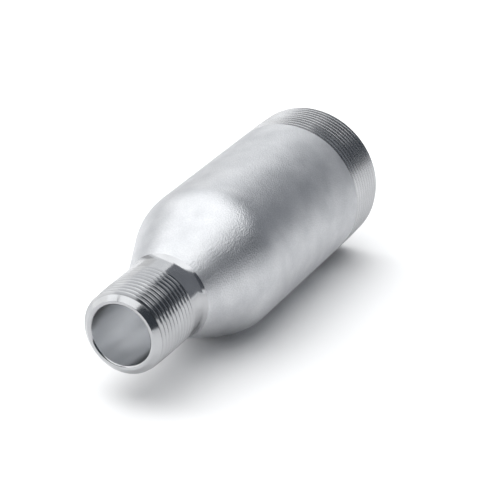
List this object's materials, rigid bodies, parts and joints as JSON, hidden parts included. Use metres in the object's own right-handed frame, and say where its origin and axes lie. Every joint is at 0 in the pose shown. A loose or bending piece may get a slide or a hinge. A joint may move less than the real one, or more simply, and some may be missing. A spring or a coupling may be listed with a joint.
{
  "type": "swage nipple",
  "caption": "Concentric swage nipple: straight round body reduced through a rounded shoulder and cone to a small pipe end, bored through, with a taper pipe thread on both ends.",
  "frame": {"origin": "centre of the large end's face, which the part stands on", "axes": "+Z along the pipe axis, from the large end to the small end; X and Y are alike because the part is round"},
  "size_m": [0.0604, 0.0602, 0.1651],
  "materials": {
    "steel": "fine blasted grey stainless on the body, bright turned on the threads, chamfers, neck and bore"
  },
  "bodies": {
    "root": {"swage_nipple": "steel"}
  },
  "joints": []
}
